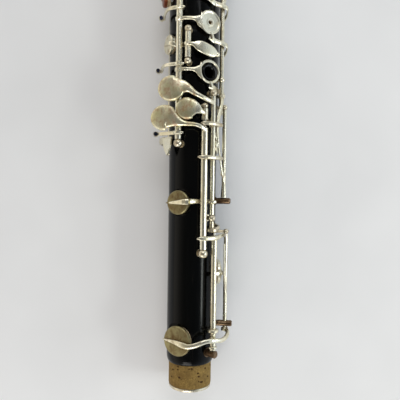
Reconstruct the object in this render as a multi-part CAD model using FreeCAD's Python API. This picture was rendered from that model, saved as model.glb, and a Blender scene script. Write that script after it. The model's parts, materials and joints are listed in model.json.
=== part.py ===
import FreeCAD, Part
import math
import os

# Lower joint of an oboe, lying with its bore axis along +Y.
# Origin: centre of the tenon's end face. +Y points to the socket, +Z is up, +X is the right flank.
# Places on the joint are given as (phi, rho, y): phi in degrees from +Z towards +X round the bore
# axis, rho the distance from that axis, y the distance from the tenon's end. Millimetres throughout.

# ---------------------------------------------------------------- driving dimensions
JOINT_LENGTH = 256.0
TENON_LENGTH = 13.7
TENON_CORE_R = 10.0
CORK_R = 11.2
END_CAP_THICK = 1.5
BODY_R = 12.5            # straight lower stretch
BODY_R_TOP = 13.7        # just below the socket bulge
TAPER_START_Y = 110.0
BULGE_START_Y = 231.0
BULGE_R = 15.0
SOCKET_R = 9.25
SOCKET_DEPTH = 18.0
BORE_R_LOW = 7.9
BORE_R_TOP = 4.6
SOCKET_RING_Y = 250.0

RUN_FIT = 0.05           # radial play between a tube and its pivot rod
END_PLAY = 0.1           # play between a tube's end and its post
FINGER_OPEN = 4.0        # degrees an open finger key stands above its closed pose
C_SHARP_OPEN = 4.0
LOW_C_CUP_OPEN = 4.2
LOW_B_CUP_OPEN = 3.0

# hinge lines of the keys, (phi, rho)
MAIN_LINE = (-26.5, 16.3)
F_LINE = (-9.5, 17.0)
LOW_C_LINE = (21.5, 16.4)
C_SHARP_LINE = (39.0, 16.2)
LOW_C_CUP_LINE = (45.4, 16.3)
LOW_B_LEVER_LINE = (62.0, 16.5)
LOW_B_ROD_LINE = (75.0, 17.0)
LOW_B_CUP_LINE = (84.0, 18.2)
LINK_LINE = (105.0, 15.4)
SIDE_VENT_LINE = (-121.0, 15.1)

MAIN_TUBE_R = 1.65
F_TUBE_R = 1.5
LOW_C_TUBE_R = 1.7
C_SHARP_TUBE_R = 1.25
LOW_C_CUP_TUBE_R = 1.55
THIN_ROD_R = 1.0
MAIN_PIVOT_R = 0.8
FINE_PIVOT_R = 0.6

# finger holes and pad cups, (phi, y)
FINGER_PHI = 33.5
F_SHARP_Y = 211.0
E_Y = 188.2
D_Y = 163.2
PLATE_R = 6.0
FINGER_PAD_SEAT = 12.3   # distance of the finger pads' seats from the bore axis
FINGER_PAD_THICK = 1.4
PLATE_RHO = FINGER_PAD_SEAT + FINGER_PAD_THICK + 0.03  # underside of a finger plate, key closed
F_CUP = (-62.0, 178.7)
C_SHARP_CUP = (-30.0, 97.0)
LOW_B_CUP = (-31.0, 26.9)
E_FLAT_CUP = (86.0, 128.0)
LOW_C_CUP = (102.0, 60.0)
LOW_B_SEAT = 10.9
C_SHARP_SEAT = 11.2
LOW_C_SEAT = 11.1
E_FLAT_SEAT = 10.9
PAD_GAP = 0.04           # play left between a closed pad and its seat
PAD_BACK_GAP = 0.01      # play between a pad's back and its cup
CUP_OVER_SEAT = 1.6      # from a pad's seat to the rim of its closed cup
CUP_HOLLOW = 1.0         # depth of a pad cup's hollow
F_RIM = 13.7
E_FLAT_RIM = E_FLAT_SEAT + 0.75
SIDE_VENT_CUP = (-78.0, 206.0)
SIDE_VENT_RIM = 15.1
E_VENT_CUP = (146.0, 186.0)
D_VENT_CUP = (146.0, 158.0)
LINK_VENT_RIM = 13.9

Vec = FreeCAD.Vector
AXIS = Vec(0, 1, 0)
ORIGIN = Vec(0, 0, 0)


# ---------------------------------------------------------------- places and basic solids
def polar(phi, rho, y):
    angle = math.radians(phi)
    return Vec(rho * math.sin(angle), y, rho * math.cos(angle))


def outward(phi):
    return polar(phi, 1.0, 0.0)


def body_radius(y):
    """Outer radius of the wood between the tenon's shoulder and the socket bulge."""
    share = (y - TAPER_START_Y) / (BULGE_START_Y - TAPER_START_Y)
    return BODY_R + (BODY_R_TOP - BODY_R) * min(max(share, 0.0), 1.0)


def bore_radius(y):
    share = y / (JOINT_LENGTH - SOCKET_DEPTH)
    return BORE_R_LOW + (BORE_R_TOP - BORE_R_LOW) * share


def cylinder(start, end, radius):
    run = end - start
    return Part.makeCylinder(radius, run.Length, start, run)


def along(line, y0, y1, radius):
    """Cylinder on a hinge line, from y0 to y1."""
    phi, rho = line
    return cylinder(polar(phi, rho, y0), polar(phi, rho, y1), radius)


def radial(phi, y, rho0, rho1, radius):
    """Cylinder that points straight out of the body."""
    return cylinder(polar(phi, rho0, y), polar(phi, rho1, y), radius)


def spun(points, axis):
    """Solid of revolution of a closed outline about an axis through the origin."""
    solid = Part.Face(Part.makePolygon(points + points[:1])).revolve(ORIGIN, axis, 360)
    if solid.Volume < 0:
        solid.reverse()
    return solid


def turned(profile):
    """Solid of revolution about the bore axis from (radius, y) points."""
    return spun([Vec(radius, y, 0) for radius, y in profile], AXIS)


def button(profile, phi, rho, y):
    """Solid of revolution from (radius, height) points, standing out of the body at phi."""
    solid = spun([Vec(radius, 0, height) for radius, height in profile], Vec(0, 0, 1))
    solid.Placement = FreeCAD.Placement(polar(phi, rho, y), FreeCAD.Rotation(AXIS, phi))
    return solid


def section(centre, across, up, half_width, half_thick):
    """Closed, rounded outline of a key arm."""
    points = []
    for step in range(12):
        angle = math.radians(30 * step)
        side = math.copysign(abs(math.cos(angle)) ** 0.8, math.cos(angle))
        lift = math.copysign(abs(math.sin(angle)) ** 0.8, math.sin(angle))
        points.append(centre + across * (half_width * side) + up * (half_thick * lift))
    curve = Part.BSplineCurve()
    curve.interpolate(Points=points, PeriodicFlag=True)
    return Part.Wire(curve.toShape())


def eased(stations, steps=3):
    """Adds in-between stations on a smooth curve through the given ones."""
    rows = [stations[0]] + list(stations) + [stations[-1]]
    smooth = []
    for before, start, end, after in zip(rows, rows[1:], rows[2:], rows[3:]):
        for step in range(steps):
            t = step / steps
            smooth.append([
                b + 0.5 * t * (c - a + t * (2 * a - 5 * b + 4 * c - d + t * (3 * (b - c) + d - a)))
                for a, b, c, d in zip(before, start, end, after)
            ])
    return smooth + [list(stations[-1])]


def bar(stations):
    """Smooth key arm through stations (phi, rho, y, half width, half thickness)."""
    rows = eased(stations)
    points = [polar(*row[:3]) for row in rows]
    last = len(points) - 1
    outlines = []
    for index, (phi, rho, y, half_width, half_thick) in enumerate(rows):
        run = points[min(index + 1, last)] - points[max(index - 1, 0)]
        run.normalize()
        across = run.cross(outward(phi))
        across.normalize()
        outlines.append(section(points[index], across, across.cross(run), half_width, half_thick))
    return Part.makeLoft(outlines, True, True)


def joined(shapes):
    """One solid from overlapping shapes."""
    whole = shapes[0]
    if len(shapes) > 1:
        whole = shapes[0].multiFuse(shapes[1:])
    if len(whole.Solids) != 1:
        raise ValueError(f"a piece fell into {len(whole.Solids)} solids")
    return whole.Solids[0]


def group(shapes):
    """Separate solids that share a node."""
    return Part.makeCompound([solid for shape in shapes for solid in shape.Solids])


def opened(shape, line, angle):
    """Turns a piece made in its closed place to where it stands at rest."""
    turned_shape = shape.copy()
    turned_shape.rotate(polar(*line, 0), AXIS, angle)
    return turned_shape


# ---------------------------------------------------------------- key parts
F_SHARP_TAIL_Y = 194.7
D_TAIL_YS = (166.4, 132.0)
TAIL_EYES = {F_SHARP_TAIL_Y: (-89.0, 17.7), D_TAIL_YS[0]: (-86.0, 18.9), D_TAIL_YS[1]: (-67.5, 20.6)}
TAIL_WAYS = {
    F_SHARP_TAIL_Y: [(-37, 18.0), (-47, 18.1), (-62, 16.9), (-79, 16.2), (-90, 16.2)],
    D_TAIL_YS[0]: [(-38, 18.0), (-50, 18.7), (-66, 17.9), (-79, 16.9), (-88, 17.3)],
    D_TAIL_YS[1]: [(-38, 16.9), (-50, 17.6), (-60, 18.9), (-66, 19.8)],
}
TAIL_SCREW_R = 0.5

# Along a touch's head, from its free edge inwards: share of the radius, half thickness there
HEAD_STEPS = (
    (0.995, 0.3), (0.95, 0.5), (0.84, 0.75), (0.62, 1.0), (0.3, 1.2), (0.0, 1.3), (-0.3, 1.3),
)


def plane_rho(cup_phi, flat_rho, phi):
    """Distance from the bore axis to a cup's flat top, at another angle phi."""
    return flat_rho / math.cos(math.radians(phi - cup_phi))


def pad_cup(radius, phi, rho, y):
    """Shallow cup, open towards the body; rho is its rim and its crown stands 2.1 above."""
    outer = [(0, 2.1), (radius * 0.55, 2.05), (radius - 0.5, 1.75), (radius, 1.25), (radius, 0)]
    inner = [(radius - 0.4, 0), (radius - 0.4, CUP_HOLLOW), (0, CUP_HOLLOW)]
    return button(outer + inner, phi, rho, y)


def pad(radius, phi, rho, y, thick):
    """Skin pad with softened edges; rho is its face towards the tone hole."""
    profile = [(0, 0), (radius - 0.5, 0), (radius - 0.1, 0.25), (radius, 0.7), (radius, thick), (0, thick)]
    return button(profile, phi, rho, y)


def cup_pad(radius, cup, face_rho, rim_rho):
    """Pad that fills its cup's hollow and reaches down to face_rho."""
    phi, y = cup
    return pad(radius, phi, face_rho, y, rim_rho + CUP_HOLLOW - PAD_BACK_GAP - face_rho)


def seated_pad(radius, cup, seat_rho):
    """Pad as it lies between its closed cup and its seat."""
    return cup_pad(radius, cup, seat_rho + PAD_GAP, seat_rho + CUP_OVER_SEAT)


def collar(line, y, radius, half_width):
    """Turned ring round a hinge tube, rounded at its edge."""
    phi, rho = line
    rim = half_width * 0.55
    profile = [(0, -half_width), (radius - 0.5, -half_width), (radius, -rim), (radius, rim)]
    profile += [(radius - 0.5, half_width), (0, half_width)]
    ring = turned(profile)
    ring.Placement = FreeCAD.Placement(polar(phi, rho, y), FreeCAD.Rotation())
    return ring


def bored(shape, line, y0, y1, radius):
    """Clears the pivot rod's way through a key."""
    return joined([shape.cut(along(line, y0, y1, radius))])


def finger_plate(y):
    """Dished round plate with a raised rim and a small centre hole."""
    profile = [(0.95, 0), (PLATE_R - 0.3, 0), (PLATE_R, 0.3), (PLATE_R, 0.9), (PLATE_R - 0.35, 1.15)]
    profile += [(PLATE_R - 0.8, 1.1), (PLATE_R - 1.3, 0.9), (2.2, 0.75), (1.6, 0.85), (1.15, 0.8)]
    profile.append((0.95, 0.6))
    return opened(button(profile, FINGER_PHI, PLATE_RHO, y), MAIN_LINE, -FINGER_OPEN)


def finger_ring(y):
    """Open ring that surrounds the raised finger hole."""
    profile = [(4.75, 0.35), (5.05, 0.05), (5.7, 0.05), (6.0, 0.35), (6.0, 0.85), (5.6, 1.2)]
    profile += [(5.15, 1.2), (4.75, 0.85)]
    return opened(button(profile, FINGER_PHI, PLATE_RHO + 0.1, y), MAIN_LINE, -FINGER_OPEN)


def teardrop(centre, radius, tilt, neck):
    """Little-finger touch in one sweep: a domed round head, then its neck.

    The head leans over by tilt, in degrees, and lies to the left of the neck, whose stations are
    (x, y, z, half width, half thickness)."""
    x, y, z = centre
    stations = []
    for share, thick in HEAD_STEPS:
        offset = -radius * share
        half_width = radius * math.sqrt(max(1.0 - share * share, 0.002))
        lift = -offset * math.tan(math.radians(tilt))
        stations.append((x + offset, y, z - lift, half_width, thick))
    rows = []
    for x, y, z, half_width, thick in stations + neck:
        rows.append((math.degrees(math.atan2(x, z)), math.hypot(x, z), y, half_width, thick))
    return bar(rows)


def finger_arm(y, arm_y):
    """Arm from the main line that widens into a finger plate or ring."""
    return bar([
        (MAIN_LINE[0] + 2, MAIN_LINE[1] + 0.6, arm_y, 0.95, 0.7),
        (-12, 16.9, arm_y, 0.9, 0.6),
        (0, 16.5, arm_y - 0.1, 1.0, 0.55),
        (7, 16.2, (arm_y + y) / 2, 2.0, 0.5),
        (11, 16.15, y, 3.1, 0.42),
        (14.5, 16.2, y, 4.4, 0.35),
    ])


def tail_arm(y):
    """Arm out to the left flank from the main line, with a pointed tip on its other side."""
    start = (MAIN_LINE[0], 17.0, y, 1.0, 0.75)
    wrap = bar([start] + [(phi, rho, y, 0.95, 0.58) for phi, rho in TAIL_WAYS[y]])
    tip = bar([
        (MAIN_LINE[0], 16.9, y, 1.1, 0.9),
        (MAIN_LINE[0] + 7, 17.1, y, 0.8, 0.55),
        (MAIN_LINE[0] + 11, 17.0, y, 0.25, 0.2),
    ])
    return [wrap, tip, collar(MAIN_LINE, y, MAIN_TUBE_R + 0.75, 1.05)]


def tail_screw(y):
    """Adjusting screw that stands upright in a tail arm's eye, slotted on top."""
    foot = polar(*TAIL_EYES[y], y) - Vec(0, 0, 1.7)
    shank = cylinder(foot, foot + Vec(0, 0, 2.7), TAIL_SCREW_R)
    head = cylinder(foot + Vec(0, 0, 2.65), foot + Vec(0, 0, 3.5), 0.95)
    slot = Part.makeBox(2.4, 0.35, 0.4, foot + Vec(-1.2, -0.17, 3.15))
    return joined([shank, head]).cut(slot)


def tail_eye(y, radius=1.3):
    """Upright eye at a tail arm's end."""
    centre = polar(*TAIL_EYES[y], y)
    return cylinder(centre - Vec(0, 0, 0.9), centre + Vec(0, 0, 0.9), radius)


def tail_eye_hole(y):
    return tail_eye(y, TAIL_SCREW_R)


# ---------------------------------------------------------------- posts
POST_FEET = []
BALL_FLAT = 0.86         # share of a ball's radius at which its two flats stand
SHANK_DEPTH = 3.0        # how far a post is screwed into the wood


def post(line, y, ball_r, hole_r):
    """Ball post on a hinge line: screwed into the wood, flat where the tubes meet it."""
    phi, rho = line
    surface = body_radius(y)
    centre = polar(phi, rho, y)
    foot = radial(phi, y, surface - 0.3, surface + 0.55, ball_r * 0.85)
    shank = radial(phi, y, surface - SHANK_DEPTH, surface, 0.9)
    POST_FEET.append(joined([shank, foot]))
    stem = Part.makeCone(ball_r * 0.62, ball_r * 0.5, rho - surface, polar(phi, surface, y), outward(phi))
    head = Part.makeSphere(ball_r, centre)
    flat = ball_r * BALL_FLAT
    keep = Part.makeBox(80, 2 * flat, 80, Vec(-40, y - flat, -40))
    whole = joined([head, stem]).common(keep)
    whole = joined([whole, foot, shank])
    return joined([whole.cut(along(line, y - 5, y + 5, hole_r))])


def post_end(y, ball_r, side):
    """Where a tube may begin above (side 1) or end below (side -1) a ball post."""
    return y + side * (ball_r * BALL_FLAT + END_PLAY)


def barrel_post(line, y, radius, outer_rho, hole_r):
    """Straight barrel-shaped post whose head reaches out past the hinge line."""
    phi, rho = line
    surface = body_radius(y)
    foot = radial(phi, y, surface - 0.3, surface + 0.55, radius + 0.5)
    shank = radial(phi, y, surface - SHANK_DEPTH, surface, 0.9)
    POST_FEET.append(joined([shank, foot]))
    barrel = radial(phi, y, surface, outer_rho - 0.5, radius)
    crown = Part.makeCone(radius, radius * 0.7, 0.5, polar(phi, outer_rho - 0.5, y), outward(phi))
    whole = joined([barrel, crown, foot, shank])
    return joined([whole.cut(along(line, y - 5, y + 5, hole_r))])


MAIN_BALL_R = 2.25
F_BALL_R = 1.8
LOW_C_BALL_R = 2.4
C_SHARP_BALL_R = 1.95
SMALL_BALL_R = 1.6
MAIN_POST_YS = (126.8, 227.2)
F_POST_YS = (167.5, 183.6)
LOW_C_POST_YS = (71.5, 145.6)
C_SHARP_POST_YS = (89.3, 152.6)
LOW_C_CUP_POST_Y = 20.2
LEVER_POST_YS = (160.5, 228.0)
ROD_POST_YS = (98.1, 147.0)
CUP_ROD_POST_YS = (33.5, 82.0)
LINK_POST_YS = (146.0, 212.0)
SIDE_VENT_POST_YS = (124.0, 214.5)
BRIDGE_YS = (119.7, 136.6)
SUPPORT_Y = 83.2


def main_posts():
    return group([post(MAIN_LINE, y, MAIN_BALL_R, MAIN_PIVOT_R) for y in MAIN_POST_YS])


def f_key_posts():
    return group([post(F_LINE, y, F_BALL_R, FINE_PIVOT_R) for y in F_POST_YS])


def low_c_posts():
    balls = [post(LOW_C_LINE, LOW_C_POST_YS[0], LOW_C_BALL_R, MAIN_PIVOT_R)]
    balls.append(post(LOW_C_LINE, LOW_C_POST_YS[1], SMALL_BALL_R, MAIN_PIVOT_R))
    return group(balls)


def c_sharp_posts():
    return group([post(C_SHARP_LINE, y, C_SHARP_BALL_R, FINE_PIVOT_R) for y in C_SHARP_POST_YS])


def low_c_cup_post():
    """Tall brown-tarnished end post below the low C tube."""
    return barrel_post(LOW_C_CUP_LINE, LOW_C_CUP_POST_Y, 1.9, 18.6, FINE_PIVOT_R)


def lever_posts():
    bearing = post(LOW_B_LEVER_LINE, LEVER_POST_YS[0], SMALL_BALL_R, THIN_ROD_R + RUN_FIT)
    top = post(LOW_B_LEVER_LINE, LEVER_POST_YS[1], SMALL_BALL_R, FINE_PIVOT_R)
    return group([bearing, top])


def barrel_posts():
    middle = barrel_post(LOW_B_ROD_LINE, ROD_POST_YS[0], 1.6, 20.7, FINE_PIVOT_R)
    low = barrel_post(LOW_B_CUP_LINE, CUP_ROD_POST_YS[0], 1.6, 22.0, THIN_ROD_R + RUN_FIT)
    return group([middle, low])


def flank_posts():
    """Small ball posts at the other ends of the two low B rods."""
    middle = post(LOW_B_ROD_LINE, ROD_POST_YS[1], 1.45, FINE_PIVOT_R)
    low = post(LOW_B_CUP_LINE, CUP_ROD_POST_YS[1], 1.45, FINE_PIVOT_R)
    return group([middle, low])


def link_posts():
    return group([post(LINK_LINE, y, SMALL_BALL_R, FINE_PIVOT_R) for y in LINK_POST_YS])


def side_vent_posts():
    return group([post(SIDE_VENT_LINE, y, SMALL_BALL_R, FINE_PIVOT_R) for y in SIDE_VENT_POST_YS])


def rod_bridge(y, phi0, phi1):
    """Thin guard across the two long tubes, carried by a stem between them."""
    middle = 0.5 * (LOW_C_LINE[0] + C_SHARP_LINE[0])
    surface = body_radius(y)
    saddle = bar([
        (phi0, 18.2, y, 0.25, 0.25),
        (phi0 + 5, 18.75, y, 0.85, 0.5),
        (middle, 18.95, y, 1.0, 0.6),
        (phi1 - 6, 18.6, y, 1.0, 0.6),
        (phi1, 18.3, y, 0.8, 0.5),
    ])
    shank = radial(middle, y, surface - SHANK_DEPTH, surface, 0.6)
    foot = radial(middle, y, surface - 0.15, surface + 0.5, 0.95)
    POST_FEET.append(joined([shank, foot]))
    stem = radial(middle, y, surface, 18.9, 0.6)
    return joined([saddle, stem, foot, shank])


def rod_bridges():
    return group([rod_bridge(BRIDGE_YS[0], 9, 57), rod_bridge(BRIDGE_YS[1], 13, 55)])


def rod_support():
    """Collared post that leans in from the right flank and holds two pivot rods' ends."""
    phi_foot = 74
    surface = body_radius(SUPPORT_Y)
    ring = collar(C_SHARP_LINE, SUPPORT_Y, 2.9, 1.0)
    sleeve = along(C_SHARP_LINE, SUPPORT_Y, C_SHARP_POST_YS[0] - C_SHARP_BALL_R * BALL_FLAT, 1.2)
    arm = bar([
        (42, 16.2, SUPPORT_Y, 0.9, 0.8),
        (52, 16.5, SUPPORT_Y + 0.8, 0.9, 0.7),
        (62, 15.8, SUPPORT_Y + 1.4, 0.9, 0.7),
        (phi_foot, surface + 0.4, SUPPORT_Y + 1.8, 1.0, 0.7),
    ])
    foot = radial(phi_foot, SUPPORT_Y + 1.8, surface - 0.15, surface + 0.6, 1.5)
    shank = radial(phi_foot, SUPPORT_Y + 1.8, surface - SHANK_DEPTH, surface, 0.8)
    POST_FEET.append(joined([shank, foot]))
    whole = joined([ring, sleeve, arm, foot, shank])
    whole = whole.cut(along(C_SHARP_LINE, SUPPORT_Y - 2, SUPPORT_Y + 8, FINE_PIVOT_R))
    return joined([whole.cut(along(LOW_C_CUP_LINE, SUPPORT_Y - 2, SUPPORT_Y + 2, FINE_PIVOT_R))])


# ---------------------------------------------------------------- pivot rods, springs, fixed fittings
def slotted_rod(line, y0, y1, radius):
    """Steel pivot rod with a screwdriver slot in its lower end."""
    phi, rho = line
    rod = along(line, y0, y1, radius)
    corner = polar(phi, rho, y0) - Vec(2, 0.1, 0.15)
    return joined([rod.cut(Part.makeBox(4, 0.5, 0.3, corner))])


def main_pivot_rods():
    return slotted_rod(MAIN_LINE, MAIN_POST_YS[0] - 1.9, MAIN_POST_YS[1] + 1.8, MAIN_PIVOT_R)


def right_hand_pivot_rods():
    """Rods of the F key and of the little-finger keys."""
    rods = [slotted_rod(F_LINE, F_POST_YS[0] - 1.5, F_POST_YS[1] + 1.4, FINE_PIVOT_R)]
    rods.append(slotted_rod(LOW_C_LINE, LOW_C_POST_YS[0] - 2.0, LOW_C_POST_YS[1] + 1.3, MAIN_PIVOT_R))
    rods.append(slotted_rod(C_SHARP_LINE, SUPPORT_Y - 0.9, C_SHARP_POST_YS[1] + 1.6, FINE_PIVOT_R))
    rods.append(slotted_rod(LOW_C_CUP_LINE, LOW_C_CUP_POST_Y - 1.9, SUPPORT_Y + 1.0, FINE_PIVOT_R))
    return group(rods)


def flank_pivot_pins():
    """Short pointed screws and rods of the right and left flank keys."""
    pins = [along(LOW_B_LEVER_LINE, LEVER_POST_YS[1] - 4.5, LEVER_POST_YS[1] + 1.3, FINE_PIVOT_R)]
    pins.append(along(LOW_B_ROD_LINE, ROD_POST_YS[0] - 1.5, ROD_POST_YS[0] + 4.5, FINE_PIVOT_R))
    pins.append(along(LOW_B_ROD_LINE, ROD_POST_YS[1] - 4.5, ROD_POST_YS[1] + 1.2, FINE_PIVOT_R))
    pins.append(along(LOW_B_CUP_LINE, CUP_ROD_POST_YS[1] - 4.5, CUP_ROD_POST_YS[1] + 1.2, FINE_PIVOT_R))
    pins.append(along(LINK_LINE, LINK_POST_YS[0] - 1.3, LINK_POST_YS[1] + 1.3, FINE_PIVOT_R))
    pins.append(along(SIDE_VENT_LINE, SIDE_VENT_POST_YS[0] - 1.3, SIDE_VENT_POST_YS[1] + 1.3, FINE_PIVOT_R))
    return group(pins)


def needle_springs():
    """Steel needles that reach from the posts along the tubes."""
    needles = []
    for line, y, side, run, drop in (
        (MAIN_LINE, MAIN_POST_YS[0], 1, 20, 3.0),
        (MAIN_LINE, MAIN_POST_YS[1], -1, 12, 2.35),
        (LOW_C_LINE, LOW_C_POST_YS[0], 1, 22, 3.0),
        (C_SHARP_LINE, C_SHARP_POST_YS[1], -1, 11, 2.6),
        (LINK_LINE, LINK_POST_YS[1], -1, 8, 1.6),
    ):
        phi, rho = line
        start = polar(phi, rho - drop, y)
        needles.append(cylinder(start, polar(phi, rho - drop, y + side * run), 0.22))
    return group(needles)


def wood_body():
    """Turned body with tenon core, socket, conical bore, tone holes, pad seats and post holes."""
    socket_floor = JOINT_LENGTH - SOCKET_DEPTH
    outline = [(0, END_CAP_THICK), (TENON_CORE_R, END_CAP_THICK), (TENON_CORE_R, TENON_LENGTH)]
    outline += [(11.35, TENON_LENGTH)]
    for step in range(1, 7):
        angle = math.radians(15 * step)
        outline.append((11.35 + 1.15 * math.sin(angle), TENON_LENGTH + 4.6 * (1 - math.cos(angle))))
    outline += [(BODY_R, TAPER_START_Y), (BODY_R_TOP, BULGE_START_Y)]
    for step in range(1, 7):
        share = 0.5 - 0.5 * math.cos(math.radians(30 * step))
        outline.append((BODY_R_TOP + (BULGE_R - BODY_R_TOP) * share, BULGE_START_Y + 1.5 * step))
    outline += [(BULGE_R, SOCKET_RING_Y), (BULGE_R - 0.9, SOCKET_RING_Y)]
    outline += [(BULGE_R - 0.9, JOINT_LENGTH), (0, JOINT_LENGTH)]
    wood = turned(outline)
    air = turned([(0, 0), (BORE_R_LOW, 0), (BORE_R_TOP, socket_floor), (SOCKET_R, socket_floor),
                  (SOCKET_R, JOINT_LENGTH), (0, JOINT_LENGTH)])
    wood = wood.cut(air)
    for phi, y, hole_r, seat_r, seat_rho in (
        (FINGER_PHI, F_SHARP_Y, 2.8, PLATE_R + 0.7, FINGER_PAD_SEAT),
        (FINGER_PHI, E_Y, 2.8, PLATE_R + 0.7, FINGER_PAD_SEAT),
        F_CUP + (3.0, 5.6, 11.9),
        C_SHARP_CUP + (3.8, 7.0, C_SHARP_SEAT),
        LOW_B_CUP + (4.4, 8.5, LOW_B_SEAT),
        E_FLAT_CUP + (3.2, 5.9, E_FLAT_SEAT),
        LOW_C_CUP + (4.2, 7.4, LOW_C_SEAT),
        SIDE_VENT_CUP + (2.4, 7.0, 12.2),
        E_VENT_CUP + (1.5, 4.2, 12.2),
        D_VENT_CUP + (1.5, 4.2, 12.0),
    ):
        wood = wood.cut(radial(phi, y, bore_radius(y) - 2.0, 20.0, hole_r))
        wood = wood.cut(radial(phi, y, seat_rho, 20.0, seat_r))
    wood = wood.cut(radial(FINGER_PHI, D_Y, bore_radius(D_Y) - 2.0, 20.0, 2.7))
    wood = wood.cut(radial(FINGER_PHI, D_Y, 11.4, 20.0, 4.0))
    for foot in POST_FEET:
        wood = wood.cut(foot)
    return joined([wood])


def tenon_cork():
    return turned([(TENON_CORE_R, END_CAP_THICK), (11.0, END_CAP_THICK), (11.12, 2.0), (CORK_R, 2.6),
                   (CORK_R, 13.3), (11.0, TENON_LENGTH), (TENON_CORE_R, TENON_LENGTH)])


def tenon_cap():
    return turned([(BORE_R_LOW, 0), (10.6, 0), (10.95, 0.35), (11.05, 0.9), (11.05, END_CAP_THICK),
                   (BORE_R_LOW, END_CAP_THICK)])


def socket_ring():
    return turned([(BULGE_R - 0.9, SOCKET_RING_Y), (BULGE_R + 0.1, SOCKET_RING_Y), (BULGE_R + 0.3, 250.6),
                   (BULGE_R + 0.3, 255.4), (BULGE_R, JOINT_LENGTH), (BULGE_R - 0.9, JOINT_LENGTH)])


def finger_chimney():
    """Raised rim of the D finger hole, standing inside the open ring."""
    profile = [(2.7, 0), (4.0, 0), (4.0, 3.0), (3.6, 3.3), (3.1, 3.2), (2.7, 2.7)]
    return button(profile, FINGER_PHI, 11.4, D_Y)


THUMB_PHI = -150.0
THUMB_Y = 182.0
THUMB_HALF_SPAN = 21.0    # degrees of the plate on each side of its middle


def thumb_rest():
    """Curved plate on the back with a low ledge for the right thumb."""
    surface = body_radius(THUMB_Y - 14)
    plate = turned([(surface + 0.35, THUMB_Y - 14), (surface + 1.35, THUMB_Y - 14),
                    (surface + 1.35, THUMB_Y + 12), (surface + 0.35, THUMB_Y + 12)])
    left = polar(THUMB_PHI - THUMB_HALF_SPAN, 30, 0)
    right = polar(THUMB_PHI + THUMB_HALF_SPAN, 30, 0)
    wedge = Part.Face(Part.makePolygon([ORIGIN, left, right, ORIGIN])).extrude(Vec(0, JOINT_LENGTH, 0))
    plate = plate.common(wedge)
    hook = bar([
        (THUMB_PHI, surface + 0.6, THUMB_Y + 8.5, 3.4, 1.0),
        (THUMB_PHI, surface + 1.4, THUMB_Y + 8.4, 3.6, 0.9),
        (THUMB_PHI, surface + 2.0, THUMB_Y + 9.4, 3.6, 0.75),
        (THUMB_PHI, surface + 2.3, THUMB_Y + 11.6, 2.9, 0.6),
    ])
    whole = joined([plate, hook])
    for y in (THUMB_Y - 10, THUMB_Y - 1):
        whole = whole.cut(radial(THUMB_PHI, y, surface - 1, surface + 3, 1.0))
    return joined([whole])


def thumb_rest_screws():
    surface = body_radius(THUMB_Y - 14)
    screws = []
    for y in (THUMB_Y - 10, THUMB_Y - 1):
        shank = radial(THUMB_PHI, y, surface - SHANK_DEPTH, surface + 1.4, 0.95)
        head = button([(0, 0), (1.9, 0), (1.6, 0.5), (0.8, 0.75), (0, 0.8)], THUMB_PHI, surface + 1.36, y)
        slot = Part.makeBox(5, 0.4, 0.5)
        turn = FreeCAD.Rotation(AXIS, THUMB_PHI)
        slot.Placement = FreeCAD.Placement(polar(THUMB_PHI, surface + 1.8, y), turn)
        slot.translate(outward(THUMB_PHI + 90) * -2.5 + Vec(0, -0.2, 0))
        screws.append(joined([shank, head]).cut(slot))
        POST_FEET.append(radial(THUMB_PHI, y, surface - SHANK_DEPTH, surface + 1, 0.95))
    return group(screws)


# ---------------------------------------------------------------- finger keys on the main line
F_SHARP_TUBE = (190.75, post_end(MAIN_POST_YS[1], MAIN_BALL_R, -1))
E_TUBE = (173.05, 190.65)
D_TUBE = (post_end(MAIN_POST_YS[0], MAIN_BALL_R, 1), 172.95)


def finger_tab(y, end_y):
    """Tongue at the lower edge of a finger plate or ring, above its link lever."""
    return bar([
        (33.0, 15.75, y - 5.0, 0.75, 0.32),
        (36.0, 16.05, y - 6.6, 0.75, 0.32),
        (37.0, 16.05, end_y, 0.7, 0.35),
    ])


def f_sharp_key():
    y = F_SHARP_Y
    pieces = [along(MAIN_LINE, *F_SHARP_TUBE, MAIN_TUBE_R), finger_plate(y), finger_arm(y, y + 0.8)]
    pieces += [collar(MAIN_LINE, y + 0.8, MAIN_TUBE_R + 0.5, 1.2), finger_tab(y, F_SHARP_LINK_Y)]
    pieces += tail_arm(F_SHARP_TAIL_Y) + [tail_eye(F_SHARP_TAIL_Y)]
    whole = joined(pieces).cut(tail_eye_hole(F_SHARP_TAIL_Y))
    return bored(whole, MAIN_LINE, 180, 230, MAIN_PIVOT_R + RUN_FIT)


def e_key():
    pieces = [along(MAIN_LINE, *E_TUBE, MAIN_TUBE_R), finger_plate(E_Y), finger_arm(E_Y, E_Y + 0.8)]
    pieces += [collar(MAIN_LINE, E_Y + 0.8, MAIN_TUBE_R + 0.5, 1.2), finger_tab(E_Y, E_LINK_Y)]
    return bored(joined(pieces), MAIN_LINE, 170, 195, MAIN_PIVOT_R + RUN_FIT)


def d_ring_key():
    pieces = [along(MAIN_LINE, *D_TUBE, MAIN_TUBE_R), finger_ring(D_Y), finger_arm(D_Y, D_Y + 0.4)]
    pieces += [collar(MAIN_LINE, D_Y + 0.4, MAIN_TUBE_R + 0.5, 1.2), finger_tab(D_Y, D_LINK_Y)]
    for y in D_TAIL_YS:
        pieces += tail_arm(y) + [tail_eye(y)]
    whole = joined(pieces)
    for y in D_TAIL_YS:
        whole = whole.cut(tail_eye_hole(y))
    return bored(whole, MAIN_LINE, 120, 180, MAIN_PIVOT_R + RUN_FIT)


def f_sharp_adjusting_screw():
    return tail_screw(F_SHARP_TAIL_Y)


def d_adjusting_screws():
    return group([tail_screw(y) for y in D_TAIL_YS])


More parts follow.
